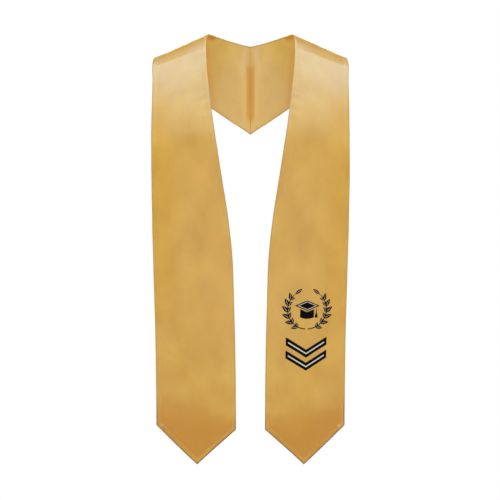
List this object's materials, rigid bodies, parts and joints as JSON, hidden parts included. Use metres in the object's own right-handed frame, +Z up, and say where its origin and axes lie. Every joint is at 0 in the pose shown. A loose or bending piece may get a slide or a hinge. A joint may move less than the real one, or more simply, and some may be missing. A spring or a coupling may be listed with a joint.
{
  "type": "graduation stole",
  "caption": "Long satin band worn over the shoulders, V-shaped at the back, with two hanging front panels that end in points.",
  "frame": {"origin": "midway between the shoulders, at the height of the neck edges where they cross the tops of the shoulders", "axes": "+Z up, the front panels hang on the -Y side, +X is the wearer's left, which carries the emblem"},
  "size_m": [0.3446, 0.2063, 0.7488],
  "materials": {
    "satin_face": "gold polyester satin, soft sheen",
    "satin_lining": "gold polyester satin, soft sheen",
    "print": "black heat-pressed film",
    "print_inline": "light grey heat-pressed film"
  },
  "bodies": {
    "root": {"left_face": "satin_face", "right_face": "satin_face", "left_lining": "satin_lining", "right_lining": "satin_lining", "emblem_left_branch": "print", "emblem_right_branch": "print", "emblem_board": "print", "emblem_cap": "print", "emblem_tassel": "print", "emblem_chevron_upper": "print", "emblem_chevron_lower": "print", "emblem_inline_upper": "print_inline", "emblem_inline_lower": "print_inline"}
  },
  "joints": []
}
